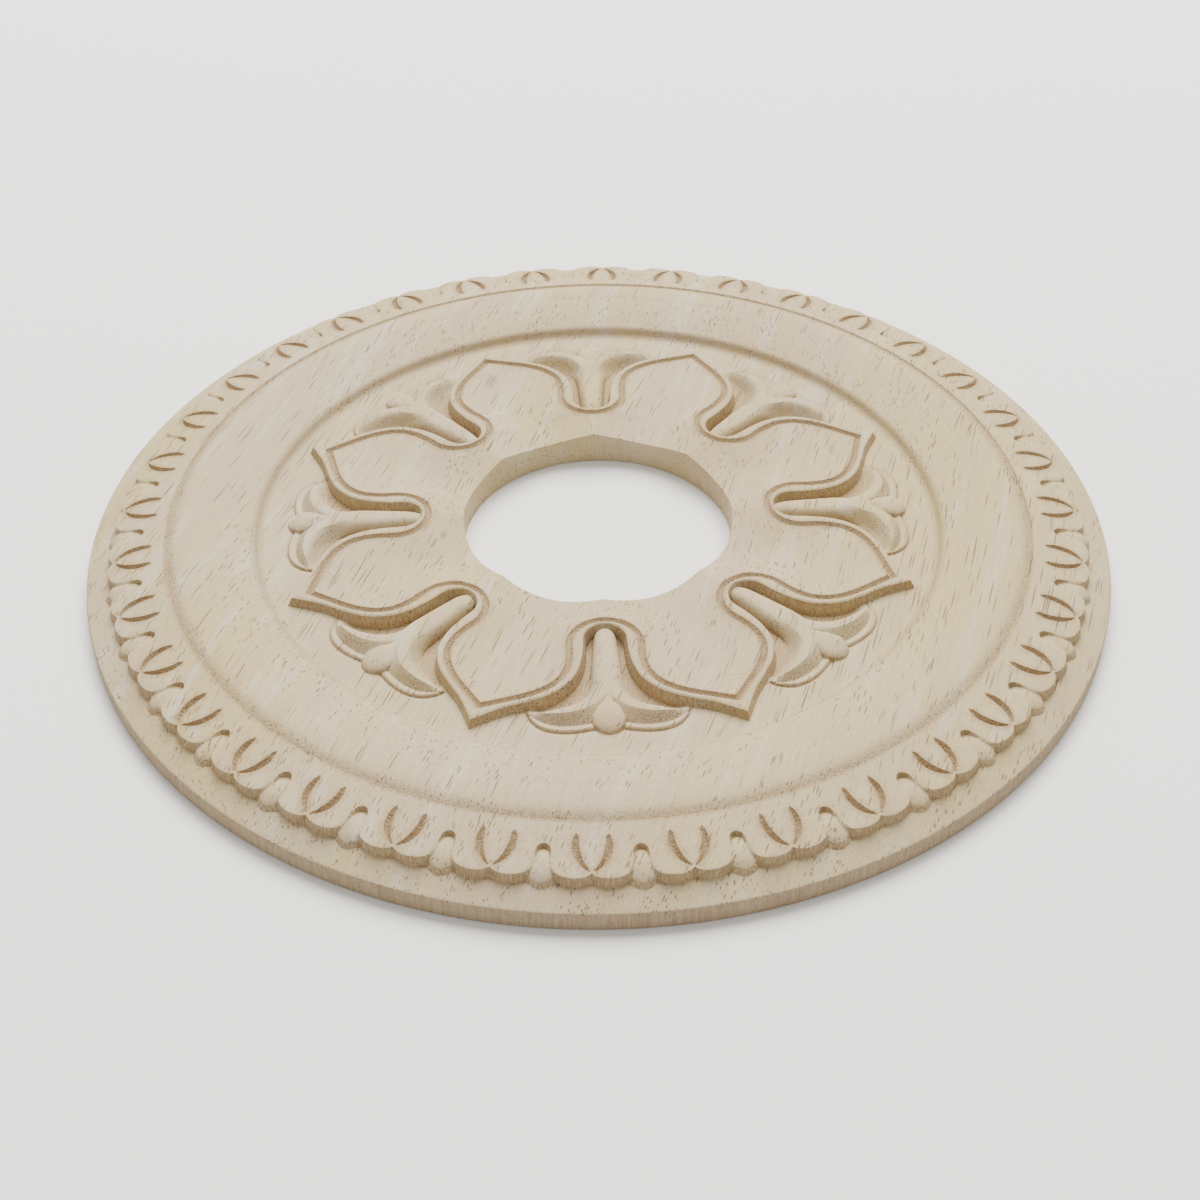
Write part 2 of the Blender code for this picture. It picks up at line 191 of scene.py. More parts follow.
def smooth_line(knots, spacing=POINT_SPACING):
    """A smooth line through plan points, as points about this far apart."""
    knots = [Vector((knot[0], knot[1])) for knot in knots]
    line = []
    for i, (near, far) in enumerate(zip(knots, knots[1:])):
        third = (far - near).length / 3
        leaving = (far - knots[max(i - 1, 0)]).normalized() * third
        arriving = (knots[min(i + 2, len(knots) - 1)] - near).normalized() * third
        count = max(round((far - near).length / spacing), 1) + 1
        line += interpolate_bezier(near, near + leaving, far - arriving, far, count)[:-1]
    return np.array([point[:2] for point in line + [knots[-1]]])


def reflected(points, angle=0.0):
    """Plan points mirrored in the radial line at this angle, in reversed order."""
    ray = np.array((math.sin(angle), math.cos(angle)))
    return (2 * np.outer(points @ ray, ray) - points)[::-1]


def drawn_out(points, length):
    """The line with a straight stretch added at its end."""
    run = points[-1] - points[-2]
    return np.vstack((points, points[-1] + run * length / np.hypot(*run)))


def fraction(value, start, end):
    """How far a value is from start to end, held between 0 and 1."""
    return np.clip((value - start) / (end - start), 0.0, 1.0)


def eased(value, start, end):
    """Like fraction, with a gentle start and end."""
    share = fraction(value, start, end)
    return share * share * (3 - 2 * share)


class Line:
    """A line in plan that knows how far other points lie to its left."""

    FOLDED = 0.03

    def __init__(self, points):
        self.points = np.array(points)

    def reach(self, where):
        """Distance of points from the line, positive to its left."""
        start = self.points[:-1]
        run = np.diff(self.points, axis=0)
        away = where[:, None] - start
        share = np.clip((away * run).sum(2) / (run * run).sum(1), 0, 1)
        gap = away - share[..., None] * run
        distance = np.hypot(gap[..., 0], gap[..., 1])
        nearest = distance.argmin(1)
        row = np.arange(len(where))
        turn = run[nearest, 0] * away[row, nearest, 1] - run[nearest, 1] * away[row, nearest, 0]
        return np.where(turn < 0, -1, 1) * distance[row, nearest]

    def beside(self, distance):
        """The line moved to its left, without the stretches where that folds it over."""
        run = np.gradient(self.points, axis=0)
        run /= np.hypot(run[:, 0], run[:, 1])[:, None]
        moved = self.points + np.multiply(distance, np.stack((-run[:, 1], run[:, 0]), axis=0)).T
        true = np.abs(np.abs(self.reach(moved)) - np.abs(distance)) < self.FOLDED
        return moved[true]


class Patch:
    """Half of a carved motif, between two radial lines, as guide points and lines in plan."""

    TOO_NEAR = 0.28
    CLEAR_OF_SIDE = 0.3
    CLEAR_SHARE = 0.62
    ON_SIDE = 0.000001
    SAME_POINT = 0.0001

    def __init__(self, width, inner_radius, outer_radius):
        self.width = width
        self.radii = inner_radius, outer_radius
        self.points = np.empty((0, 2))
        self.edges = []
        steps = round(width / (2 * math.pi) * TURNING_STEPS) + 1
        for radius in self.radii:
            self.add(on_ray(radius, np.linspace(0.0, width, steps)))

    def clearance(self, points):
        """Distance from each point to the nearest one in the patch."""
        if not len(self.points):
            return np.full(len(points), np.inf)
        gap = points[:, None] - self.points
        return np.hypot(gap[..., 0], gap[..., 1]).min(1)

    def add(self, points):
        """Adds a run of points, joined in order where none of them was too near another."""
        free = self.clearance(points) > self.TOO_NEAR
        place = len(self.points) + np.cumsum(free) - 1
        pairs = zip(free, free[1:], place, place[1:])
        self.edges += [(int(a), int(b)) for one, other, a, b in pairs if one and other]
        self.points = np.vstack((self.points, points[free]))

    def side(self, points, angle):
        """Distance of points past one of the patch's radial sides."""
        inward = 1 if angle == 0.0 else -1
        return inward * (points[:, 0] * math.cos(angle) - points[:, 1] * math.sin(angle))

    def guide(self, points):
        """Adds a line, cut so that it ends exactly on the patch's sides."""
        for angle in (0.0, self.width):
            past = self.side(points, angle)
            cut = []
            for i, point in enumerate(points):
                if i and (past[i - 1] < 0 <= past[i] or past[i] < 0 <= past[i - 1]):
                    share = past[i - 1] / (past[i - 1] - past[i])
                    crossing = points[i - 1] + (point - points[i - 1]) * share
                    cut.append(on_ray(np.hypot(*crossing), angle))
                if past[i] > self.CLEAR_OF_SIDE:
                    cut.append(point)
            points = np.array(cut).reshape(-1, 2)
        if len(points):
            self.add(points)

    def scatter(self, spacing, wanted=None):
        """Adds points on a triangular grid, clear of all that is there."""
        inner, outer = self.radii
        rows = np.arange(inner * math.cos(self.width), outer, spacing * math.sqrt(3) / 2)
        columns = np.arange(0.0, outer * math.sin(self.width), spacing)
        grid = [(x + spacing / 2 * (row % 2), y) for row, y in enumerate(rows) for x in columns]
        grid = np.array(grid)
        radius = np.hypot(grid[:, 0], grid[:, 1])
        inside = (radius > inner + spacing / 2) & (radius < outer - spacing / 2)
        for angle in (0.0, self.width):
            inside &= self.side(grid, angle) > spacing / 2
        grid = grid[inside]
        if wanted is not None:
            grid = grid[wanted(grid)]
        grid = grid[self.clearance(grid) > spacing * self.CLEAR_SHARE]
        self.points = np.vstack((self.points, grid))

    def close_sides(self, spacing):
        """Fills the gaps along both radial sides and joins the points there."""
        for angle in (0.0, self.width):
            for again in range(2):
                on = np.flatnonzero(np.abs(self.side(self.points, angle)) < self.ON_SIDE)
                on = on[np.argsort(np.hypot(*self.points[on].T))]
                radii = np.hypot(*self.points[on].T)
                if again:
                    self.edges += [(int(a), int(b)) for a, b in zip(on, on[1:])]
                    continue
                for near, far in zip(radii, radii[1:]):
                    between = np.linspace(near, far, int((far - near) / spacing) + 2)[1:-1]
                    self.points = np.vstack((self.points, on_ray(between, angle)))

    def carved(self, name, height, tooling_and_shade):
        """The patch as a mesh, with the height and the tool marks and painted shade that two functions
        give.
        """
        plan = [Vector(point) for point in self.points]
        found, _, triangles, _, _, _ = delaunay_2d_cdt(plan, self.edges, [], 1, self.SAME_POINT)
        where = np.array([point[:] for point in found])
        vertices = np.column_stack((where, height(where))) * MM
        mesh = bpy.data.meshes.new(name)
        mesh.from_pydata(vertices.tolist(), [], triangles)
        mesh.attributes.new("tooled_and_shaded", "FLOAT", "POINT").data.foreach_set("value", tooling_and_shade(where))
        half = bpy.data.objects.new(name, mesh)
        bpy.context.scene.collection.objects.link(half)
        return half


bend = arc((0.0, GROOVE_BEND_CENTRE), GROOVE_BEND_RADIUS, -math.pi / 2, 0.0, BEND_POINTS)
groove_half = smooth_line([*bend, *GROOVE_FLARE, on_ray(GROOVE_TIP_RADIUS, HALF_FLOWER)])
bend = arc((0.0, BAND_BEND_CENTRE), BAND_BEND_RADIUS, -math.pi / 2, 0.0, BEND_POINTS)
band_half = smooth_line([*bend, *BAND_FLARE, on_ray(BAND_TIP_RADIUS, HALF_FLOWER)])
groove = Line(np.vstack((reflected(groove_half)[:-1], drawn_out(groove_half, OVERRUN))))
band = Line(np.vstack((reflected(band_half)[:-1], drawn_out(band_half, OVERRUN))))
groove_radii = np.hypot(*groove_half.T)
groove_angles = np.arctan2(*groove_half.T)
BEND_START = GROOVE_BEND_CENTRE - GROOVE_BEND_RADIUS


def petal_edge_height(radius):
    """Height of the petal's edge, falling from the bend to the tip."""
    reach = fraction(radius, BEND_START, GROOVE_TIP_RADIUS)
    return PETAL_EDGE_AT_BEND + (PETAL_EDGE_AT_TIP - PETAL_EDGE_AT_BEND) * reach


def petal_height(radius, angle):
    """Height of the hollowed petal, lowest on its axis beside the hole."""
    edge_angle = np.interp(radius, groove_radii, groove_angles, left=0.0, right=HALF_FLOWER)
    across = fraction(HALF_FLOWER - angle, 0.0, HALF_FLOWER - edge_angle + TINY)
    reach = fraction(radius, HOLE_RADIUS, GROOVE_TIP_RADIUS)
    middle = PETAL_HOLLOW_AT_HOLE
    middle += (PETAL_EDGE_AT_TIP - PETAL_HOLLOW_AT_HOLE) * reach**HOLLOW_RISE_POWER
    edge = RIDGE_AT_HOLE + (PETAL_EDGE_AT_BEND - RIDGE_AT_HOLE) * fraction(radius, HOLE_RADIUS, BEND_START)
    edge = np.where(radius < BEND_START, edge, petal_edge_height(radius))
    near_bend = fraction(radius, HOLE_RADIUS, BEND_START)
    near_bend = near_bend * (1 - fraction(radius, BEND_START, BEND_START + HOLLOW_SETTLE_RUN))
    rise = across**HOLLOW_ROUNDNESS
    rise += (eased(across, 0.0, 1.0) - rise) * near_bend
    return middle + (edge - middle) * rise


def band_height(radius, from_groove, past_band):
    """Height of the band's top: softly crowned, with a worn shoulder at its outer edge."""
    inner = np.maximum(from_groove - GROOVE_HALF_WIDTH, 0.0)
    outer = np.maximum(-past_band, 0.0)
    share = inner / (inner + outer + TINY)
    crown = BAND_CROWN * 4 * share * (1 - share)
    shoulder = BAND_SHOULDER_DROP * (1 - fraction(outer, 0.0, BAND_SHOULDER)) ** 2
    return petal_edge_height(radius) + crown - shoulder


# Lily flowers
# A flower stands in each bend of the band: a round stem that flares into two lips, with a bud
# under their fork. The lips' outer side slants down to a thin low rim on the field.
STEM_AND_LIP = (
    (0.0, 51.0),
    (1.7, 51.7),
    (2.8, 53.6),
    (3.4, 56.5),
    (4.1, 65.0),
    (4.6, 72.0),
    (5.8, 76.4),
    (8.3, 79.6),
    (11.6, 81.2),
    (15.6, 81.9),
    (21.2, 82.6),
)
LIP_LOWER_EDGE = (
    (0.0, 79.6),
    (2.0, 81.5),
    (4.0, 83.6),
    (6.9, 85.4),
    (11.1, 86.3),
    (15.7, 85.9),
    (19.3, 84.4),
    (21.2, 82.7),
)
STEM_ROUNDING = 3.2
STEM_SQUARENESS = 3.0
NOSE_HEIGHT = 10.7
NOSE_REACH = (51.5, 57.5)
STEM_HEIGHT = 11.4
STEM_TO_LIP = (64.0, 76.0)
LIP_HEIGHT = 11.5
LIP_ROUNDING = (-0.6, 3.6)
LIP_ROUNDING_STARTS = (70.0, 79.0)
LIP_TIP_DROP = 1.8
LIP_TIP_REACH = (6.0, 20.9)
LIP_TIP_POWER = 2.2
LIP_EDGE_DROP = 0.05
LIP_EDGE_ROUNDING = 0.5
LIP_FOOT = ((0.0, 85.7), (4.6, 88.0), (8.4, 88.8), (13.2, 88.7), (17.4, 87.4), (20.2, 85.0), (21.4, 82.4))
LIP_FOOT_HEIGHT = 8.7
RIM_EDGE = ((0.0, 88.9), (4.6, 90.4), (9.4, 91.2), (14.0, 91.0), (18.2, 89.3), (20.9, 86.0), (21.9, 82.4))
RIM_CROWN = 0.3
RIM_WALL_RUN = 0.35
RIM_CUT_RUN = 0.9
RIM_CUT_DEPTH = 0.3
BUD_EDGE = ((0.0, 79.6), (1.55, 82.2), (3.1, 84.4), (4.3, 86.8), (4.0, 89.2), (2.3, 91.2), (0.0, 92.0))
BUD_CREST = ((79.6, 11.35), (84.5, 11.4), (87.5, 11.1), (90.3, 10.3), (91.9, 9.3))
BUD_EDGE_HEIGHTS = ((79.6, 11.1), (84.0, 10.2), (88.0, 9.6), (91.9, 9.1))
BUD_WALL_RUN = 0.35
BUD_POINT_WIDTH = 1e-6

lily_half = smooth_line(STEM_AND_LIP)
lily = Line(np.vstack((reflected(lily_half)[:-1], drawn_out(lily_half, OVERRUN))))
lip_half = smooth_line(LIP_LOWER_EDGE)
lip = Line(np.vstack((reflected(lip_half)[:-1], drawn_out(lip_half, OVERRUN))))
lip_foot_half = smooth_line(LIP_FOOT)
lip_foot = Line(np.vstack((reflected(lip_foot_half)[:-1], drawn_out(lip_foot_half, OVERRUN / 2))))
rim_half = smooth_line(RIM_EDGE)
rim = Line(np.vstack((reflected(rim_half)[:-1], drawn_out(rim_half, OVERRUN / 2))))
bud_half = smooth_line(BUD_EDGE)
bud = Line(np.vstack((reflected(bud_half)[:-1], bud_half, reflected(bud_half)[1:4])))


def lily_and_field_height(where):
    """Height of all that lies outside the band: channel, flower, bud, rim and field."""
    x, y = where.T
    radius = np.hypot(x, y)
    inside_lily = lily.reach(where)
    past_lip = lip.reach(where)
    channel = CHANNEL_FLOOR + (FIELD_HEIGHT - CHANNEL_FLOOR) * eased(x, *CHANNEL_MOUTH)
    channel += CHANNEL_END_RISE * (1 - eased(y, *CHANNEL_END))
    top = NOSE_HEIGHT + (STEM_HEIGHT - NOSE_HEIGHT) * eased(y, *NOSE_REACH)
    top += (LIP_HEIGHT - STEM_HEIGHT) * eased(y, *STEM_TO_LIP)
    top -= LIP_TIP_DROP * fraction(x, *LIP_TIP_REACH) ** LIP_TIP_POWER
    stem_section = np.sqrt(1 - (1 - fraction(inside_lily, 0.0, STEM_ROUNDING)) ** STEM_SQUARENESS)
    lip_section = eased(inside_lily, *LIP_ROUNDING)
    rounding = stem_section + (lip_section - stem_section) * eased(y, *LIP_ROUNDING_STARTS)
    flower = channel + (top - channel) * rounding
    flower -= LIP_EDGE_DROP * (1 - fraction(-past_lip, 0.0, LIP_EDGE_ROUNDING)) ** 2
    past_foot = lip_foot.reach(where)
    past_rim = rim.reach(where)
    down = np.where(past_foot > 0, 1.0, past_lip / (past_lip - past_foot + TINY))
    wall = flower + (LIP_FOOT_HEIGHT - flower) * np.clip(down, 0, 1)
    across = np.clip(past_foot / (past_foot - past_rim + TINY), 0, 1)
    wall += RIM_CROWN * 4 * across * (1 - across) * (past_foot > 0)
    on_rim = 1 - fraction(past_rim, -RIM_WALL_RUN, 0.0)
    fillet = fraction(radius, ROSETTE_RIM[0] - FIELD_FILLET, ROSETTE_RIM[0]) ** 2
    field = FIELD_HEIGHT + (ROSETTE_RIM[1] - FIELD_HEIGHT) * fillet
    lower = field + (wall - field) * on_rim
    lower -= RIM_CUT_DEPTH * (1 - fraction(np.abs(past_rim), 0.0, RIM_CUT_RUN)) * (past_rim > -RIM_WALL_RUN)
    height = np.where(past_lip < 0, flower, np.where(inside_lily > 0, lower, channel))
    half_width = np.interp(y, *bud_half[:, ::-1].T, left=0.0, right=0.0)
    inside_bud = np.abs(bud.reach(where)) * np.where(np.abs(x) < half_width, 1, -1)
    crest = np.interp(y, *zip(*BUD_CREST))
    edge = np.interp(y, *zip(*BUD_EDGE_HEIGHTS))
    dome = np.sqrt(1 - fraction(np.abs(x), 0.0, half_width + BUD_POINT_WIDTH) ** 2)
    bud_top = edge + (crest - edge) * dome
    bud_wall = edge + (CHANNEL_FLOOR - edge) * fraction(-inside_bud, 0.0, BUD_WALL_RUN)
    bud_height = np.where(inside_bud > 0, bud_top, bud_wall)
    return np.where(inside_bud > -BUD_WALL_RUN, np.maximum(height, bud_height), height)


def rosette_height(where):
    """Height of the whole rosette at plan points."""
    radius = np.hypot(*where.T)
    angle = np.arctan2(*where.T)
    from_groove = groove.reach(where)
    past_band = band.reach(where)
    cut = 1 - fraction(np.abs(from_groove), 0.0, GROOVE_HALF_WIDTH) ** GROOVE_SQUARENESS
    petal = petal_height(radius, angle)
    raised = np.where(from_groove < 0, petal, band_height(radius, from_groove, past_band))
    raised -= GROOVE_DEPTH * cut
    ground = lily_and_field_height(where)
    edge = petal_edge_height(radius) - BAND_SHOULDER_DROP
    floor = np.where((lily.reach(where) < 0) & (lip.reach(where) < 0), CHANNEL_FLOOR, FIELD_HEIGHT)
    floor = np.where(where[:, 0] < LIP_TIP_REACH[1], CHANNEL_FLOOR, floor)
    share = fraction(past_band, 0.0, BAND_WALL_RUN)
    wall = edge + (np.minimum(floor, ground) - edge) * share
    return np.where(past_band < 0, raised, np.where(share < 1, np.maximum(wall, ground), ground))


POLISHED = -0.8
GROOVE_MARKS_AND_SHADE = 1.15
GROOVE_TINT_FADE = 0.5
GROOVE_TINT_END = 1.01
# The channel's tint, partly painted shade, fades out where the channel opens to the field.
CHANNEL_MARKS_AND_SHADE = 1.1
CHANNEL_SHADE_END = (16.0, 21.0)
LIP_MARKS = 0.4
RIM_MARKS = 0.6
RIM_MARKS_START = 0.3
JUST_INSIDE = 0.1


def rosette_marks_and_shade(where):
    """How strongly tool marks and painted shade show, with less than none on the smooth flower."""
    x, y = where.T
    in_lily = lily.reach(where)
    past_lip = lip.reach(where)
    past_band = band.reach(where)
    from_groove = np.abs(groove.reach(where)) / GROOVE_HALF_WIDTH
    # Groove and channel turn browner, partly for tool marks and partly as painted shade in the recess.
    in_groove = GROOVE_MARKS_AND_SHADE * (1 - GROOVE_TINT_FADE * from_groove**2) * (from_groove < GROOVE_TINT_END)
    in_channel = (past_band > BAND_WALL_RUN - JUST_INSIDE) & (in_lily < 2 * JUST_INSIDE) & (past_lip < 0)
    in_channel = CHANNEL_MARKS_AND_SHADE * in_channel * (1 - eased(x, *CHANNEL_SHADE_END))
    under_lip = (past_lip > JUST_INSIDE) & (lip_foot.reach(where) < -JUST_INSIDE) & (in_lily > 0)
    under_lip = LIP_MARKS * under_lip
    by_rim = RIM_MARKS * (1 - fraction(np.abs(rim.reach(where)), RIM_MARKS_START, RIM_CUT_RUN))
    by_rim *= (in_lily > 0) & (past_lip > 0)
    half_width = np.interp(y, *bud_half[:, ::-1].T, left=0.0, right=0.0)
    polished = (past_band > 0) & (in_lily > 2 * JUST_INSIDE) & (past_lip < 0)
    polished |= np.abs(x) < half_width - JUST_INSIDE
    return np.where(polished, POLISHED, np.maximum.reduce((in_groove, in_channel, under_lip, by_rim)))


GROOVE_GUIDES = (1.0, -1.0, 0.55, -0.55, 0.0)
STEM_GUIDES = (0.0, 0.35, 0.9, 1.7)
LIP_GUIDES = (0.0, -LIP_EDGE_ROUNDING, 0.9)
BUD_GUIDES = (0.0, 0.5, -BUD_WALL_RUN)
RIM_GUIDES = (0.0, -RIM_WALL_RUN, -0.75, RIM_CUT_RUN)
RIM_STARTS = (3.2, 82.3)
FLOWER_END_RADIUS = 93.0
FLOWER_SPACING = 0.85
PETAL_SPACING = 1.25
SIDE_SPACING = 1.0

rosette = Patch(HALF_FLOWER, HOLE_RADIUS, ROSETTE_RIM[0])
for share in GROOVE_GUIDES:
    rosette.guide(groove.beside(GROOVE_HALF_WIDTH * share))
for past_band in (0.0, -BAND_SHOULDER, BAND_WALL_RUN / 2, BAND_WALL_RUN):
    rosette.guide(band.beside(past_band))
for inside in STEM_GUIDES:
    rosette.guide(lily.beside(inside))
for past in LIP_GUIDES:
    rosette.guide(lip.beside(past))
for inside in BUD_GUIDES:
    rosette.guide(bud.beside(inside))
for line in (lip_foot.beside(0.0), *(rim.beside(past) for past in RIM_GUIDES)):
    rosette.guide(line[(line[:, 0] > RIM_STARTS[0]) & (line[:, 1] > RIM_STARTS[1])])
rosette.close_sides(SIDE_SPACING)
rosette.scatter(
    FLOWER_SPACING,
    lambda where: (band.reach(where) > 0) & (np.hypot(*where.T) < FLOWER_END_RADIUS),
)
rosette.scatter(PETAL_SPACING)
rosette_half = rosette.carved("rosette", rosette_height, rosette_marks_and_shade)

# Leaf-and-dart border
# Thirty-six leaf units ring the roll. Each unit's face falls outwards, has two curved slits and a
# round-ended lobe, and a rounded dart fills the notch to the next. A plain ledge runs outside.
UNITS = 36
HALF_UNIT = math.pi / UNITS
UNIT_TURN = math.radians(-2.5)
LEAF_INNER_RIM = (127.05, 13.08)
LEAF_FALL = 0.144
LOBE_EDGE = (
    (0.0, 141.6),
    (0.8, 142.2),
    (2.6, 142.85),
    (4.7, 143.0),
    (7.0, 142.6),
    (8.6, 141.9),
    (9.4, 140.9),
    (9.7, 139.7),
    (9.85, 137.8),
)
NOTCH_RADIUS = 1.9
NOTCH_CENTRE_RADIUS = 135.3
NOTCH_POINTS = 5
LEAF_WALL_RUN = 0.55
LEAF_EDGE_DROP = 0.12
LEAF_EDGE_ROUNDING = 0.5
LEDGE_INNER_RADIUS = 143.4
LEDGE_INNER_HEIGHT = 7.8
SLIT = ((0.6, 140.9), (1.65, 140.0), (2.8, 138.5), (3.75, 136.2), (4.15, 133.5), (3.9, 131.5))
SLIT_HALF_WIDTHS = (0.25, 0.65, 0.95, 1.0, 0.95, 0.7)
SLIT_DEPTH = 1.35
SLIT_SQUARENESS = 1.6
SLIT_DEPTHS = (0.3, 0.8, 1.0, 1.0, 1.0, 0.55)
DART_CREST = ((133.4, 10.4), (135.2, 10.75), (138.0, 11.1), (140.5, 10.7), (142.1, 10.05), (143.4, 9.0))
DART_SIDE_DROP = 0.3
DART_EDGE = ((8.6, 140.9), (9.9, 142.2), (11.1, 143.0), (11.9, 143.3), (12.51, 143.4))
DART_WALL_RUN = 1.0
FLANK_SHARE = 0.72
FLANK_RUN = 1.4
FLANK_STARTS = (134.0, 136.5)
FLANK_ENDS = (141.0, 142.6)
LOBE_POINT_SPACING = 0.75
SLIT_POINT_SPACING = 0.6
DART_OVERRUN = 3.0
SLIT_MARKS = 1.25
SLIT_MARKS_FADE = 0.4
SLIT_FLOOR = 0.6
SLIT_MARKS_END = 1.02
NOTCH_MARKS = 0.35
NOTCH_MARKS_START = 0.02
DART_POLISH = 1.0


def on_unit(points):
    """Plan points of the border from their run along the arc from a unit's axis, and radius."""
    lateral, radius = np.array(points).T
    return on_ray(radius, lateral / radius)


notch_middle = NOTCH_CENTRE_RADIUS * HALF_UNIT
turns = np.linspace(0.0, math.pi / 2, NOTCH_POINTS)
notch_run = notch_middle - NOTCH_RADIUS * np.cos(turns)
notch = np.stack((notch_run, NOTCH_CENTRE_RADIUS - NOTCH_RADIUS * np.sin(turns)), axis=-1)
lobe_half = smooth_line(on_unit([*LOBE_EDGE, *notch]), LOBE_POINT_SPACING)
lobe_half[-1] = on_ray(np.hypot(*lobe_half[-1]), HALF_UNIT)
lobe = Line(np.vstack((reflected(lobe_half)[:-1], lobe_half, reflected(lobe_half, HALF_UNIT)[1:])))
dart_half = smooth_line(on_unit(DART_EDGE), LOBE_POINT_SPACING)
dart_edge = Line(drawn_out(dart_half, DART_OVERRUN))
slit = Line(smooth_line(on_unit(SLIT), SLIT_POINT_SPACING))
slit_along = np.linspace(0, len(SLIT) - 1, len(slit.points))
slit_half_widths = np.interp(slit_along, range(len(SLIT)), SLIT_HALF_WIDTHS)
slit_depths = SLIT_DEPTH * np.interp(slit_along, range(len(SLIT)), SLIT_DEPTHS)


def border_height(where):
    """Height of the border at plan points."""
    radius = np.hypot(*where.T)
    angle = np.arctan2(*where.T)
    leaf = LEAF_INNER_RIM[1] - LEAF_FALL * np.maximum(radius - LEAF_INNER_RIM[0], 0.0)
    rise = np.interp(radius, *zip(BORDER_INNER_RIM, LEAF_INNER_RIM))
    leaf = np.where(radius < LEAF_INNER_RIM[0], rise, leaf)
    past_lobe = lobe.reach(where)
    leaf -= LEAF_EDGE_DROP * (1 - fraction(-past_lobe, 0.0, LEAF_EDGE_ROUNDING)) ** 2
    gap = where[:, None] - slit.points
    nearness = fraction(np.hypot(gap[..., 0], gap[..., 1]), 0.0, slit_half_widths)
    leaf -= (slit_depths * (1 - nearness**SLIT_SQUARENESS)).max(1)
    slope = (BORDER_OUTER_RIM[1] - LEDGE_INNER_HEIGHT) / (BORDER_OUTER_RIM[0] - LEDGE_INNER_RADIUS)
    ledge = LEDGE_INNER_HEIGHT + slope * np.maximum(radius - LEDGE_INNER_RADIUS, 0.0)
    from_crest = radius * (HALF_UNIT - angle)
    crest = np.interp(radius, *zip(*DART_CREST))
    dart = crest - DART_SIDE_DROP * (from_crest / NOTCH_RADIUS) ** 2
    past_dart = dart_edge.reach(where)
    dart = ledge + (np.maximum(dart, ledge) - ledge) * (1 - fraction(past_dart, 0.0, DART_WALL_RUN))
    lower = np.maximum(dart, ledge)
    flank = FLANK_SHARE * eased(radius, *FLANK_STARTS) * (1 - eased(radius, *FLANK_ENDS))
    lower += (leaf - lower) * flank * (1 - fraction(past_lobe, 0.0, FLANK_RUN)) ** 2
    return lower + (leaf - lower) * (1 - fraction(past_lobe, 0.0, LEAF_WALL_RUN))


def border_tooling(where):
    """How strongly tool marks show: in the slits and down the flanks of the dart."""
    gap = where[:, None] - slit.points
    nearness = (np.hypot(gap[..., 0], gap[..., 1]) / slit_half_widths).min(1)
    in_slit = SLIT_MARKS * (1 - SLIT_MARKS_FADE * fraction(nearness, SLIT_FLOOR, 1.0))
    in_slit *= nearness < SLIT_MARKS_END
    past_lobe = lobe.reach(where)
    in_notch = NOTCH_MARKS * (1 - fraction(past_lobe, LEAF_WALL_RUN, FLANK_RUN))
    in_notch *= past_lobe > NOTCH_MARKS_START
    on_dart = (dart_edge.reach(where) < DART_WALL_RUN) & (past_lobe > LEAF_WALL_RUN)
    in_notch -= DART_POLISH * on_dart
    return np.maximum(in_slit, in_notch)


LOBE_GUIDES = (0.0, LEAF_WALL_RUN, -0.4)
SLIT_GUIDES = (0.0, 1.0, -1.0, 0.55, -0.55)
SLIT_CAP_GUIDES = (1.0, 0.55)
SLIT_CAP_TURN = (-0.2 * math.pi, 1.1 * math.pi)
SLIT_CAP_POINTS = 9
DART_GUIDES = (0.0, DART_WALL_RUN, -0.5)
RIM_OVERRUN = 0.01
RIM_POINTS = 12
BORDER_SIDE_SPACING = 1.1
DART_SPACING = 1.0
LEAF_SPACING = 1.6

border = Patch(HALF_UNIT, BORDER_INNER_RIM[0], BORDER_OUTER_RIM[0])
rim_angles = np.linspace(-RIM_OVERRUN, HALF_UNIT + RIM_OVERRUN, RIM_POINTS)
border.guide(on_ray(LEAF_INNER_RIM[0], rim_angles))
for past in LOBE_GUIDES:
    border.guide(lobe.beside(past))
for share in SLIT_GUIDES:
    border.guide(slit.beside(slit_half_widths * share))
for share in SLIT_CAP_GUIDES:
    cap = arc(slit.points[-1], SLIT_HALF_WIDTHS[-1] * share, *SLIT_CAP_TURN, SLIT_CAP_POINTS)
    border.guide(cap[::-1])
for past in DART_GUIDES:
    border.guide(dart_edge.beside(past))
border.close_sides(BORDER_SIDE_SPACING)
border.scatter(DART_SPACING, lambda where: lobe.reach(where) > 0)
border.scatter(LEAF_SPACING)
border_half = border.carved("border", border_height, border_tooling)

# Assembly of the carved face with the blank
# The medallion is one piece of wood, so the patches are mirrored, turned into rings and welded to
# the turned surfaces. The wall of the hole drops from the scalloped inner edge of the petals.
SMOOTH_ANGLE = math.radians(27)
MIRROR_WELD = 0.00001


def only(thing):
    """Selects one object alone."""
    bpy.ops.object.select_all(action="DESELECT")
    bpy.context.view_layer.objects.active = thing
    thing.select_set(True)


def mirrored_and_turned(half, copies, start):
    """Mirrors half a motif in its axis and turns copies of the whole about Z."""
    only(half)
    mirror = half.modifiers.new("mirror", "MIRROR")
    mirror.merge_threshold = MIRROR_WELD
    bpy.ops.object.modifier_apply(modifier="mirror")
    half.data.transform(Matrix.Rotation(start, 4, "Z"))
    bpy.ops.object.mode_set(mode="EDIT")
    bpy.ops.mesh.select_all(action="SELECT")
    bpy.ops.mesh.spin(
        steps=copies - 1,
        dupli=True,
        angle=2 * math.pi * (copies - 1) / copies,
        center=(0, 0, 0),
        axis=(0, 0, 1),
    )
    bpy.ops.object.mode_set(mode="OBJECT")


mirrored_and_turned(rosette_half, FLOWERS, 0.0)
mirrored_and_turned(border_half, UNITS, UNIT_TURN)
only(rosette_half)
for other in (border_half, roll, side_and_back):
    other.select_set(True)
bpy.ops.object.join()
piece = rosette_half
piece.name = "carved_medallion"
piece.data.name = "carved_medallion"

